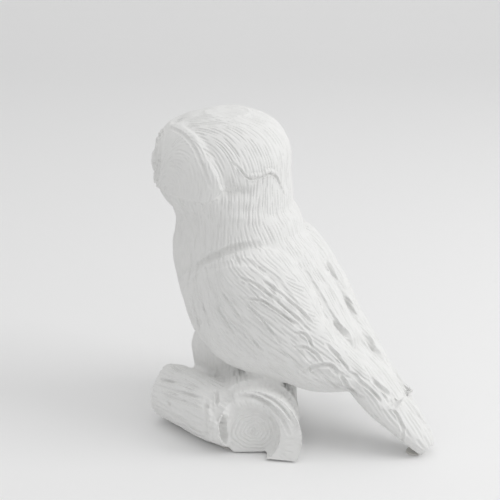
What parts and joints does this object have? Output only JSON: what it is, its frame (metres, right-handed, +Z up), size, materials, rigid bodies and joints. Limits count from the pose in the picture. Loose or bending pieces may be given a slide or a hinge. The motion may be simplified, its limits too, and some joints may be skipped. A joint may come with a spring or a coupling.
{
  "type": "owl figurine",
  "caption": "White unglazed ceramic owl perched on a forked log with its head turned, carved feather texture, tail tip resting on the table; a table or shelf ornament.",
  "frame": {"origin": "on the table plane under the middle of the log, on the lower face of the felt base", "axes": "+Z up; the owl's breast faces -Y and its tail runs to +Y; +X is the owl's left side, to which its head is turned"},
  "size_m": [0.1457, 0.2277, 0.2385],
  "materials": {
    "bisque": "matte unglazed white",
    "felt": "pale grey wool felt"
  },
  "bodies": {
    "root": {"torso": "bisque", "head": "bisque", "facial_disc": "bisque", "left_eye": "bisque", "right_eye": "bisque", "beak": "bisque", "left_wing": "bisque", "right_wing": "bisque", "tail": "bisque", "left_leg": "bisque", "right_leg": "bisque", "left_foot": "bisque", "right_foot": "bisque", "log": "bisque", "branch_stub": "bisque", "bark_collar": "bisque", "felt_base": "felt", "tail_pad": "felt"}
  },
  "joints": []
}
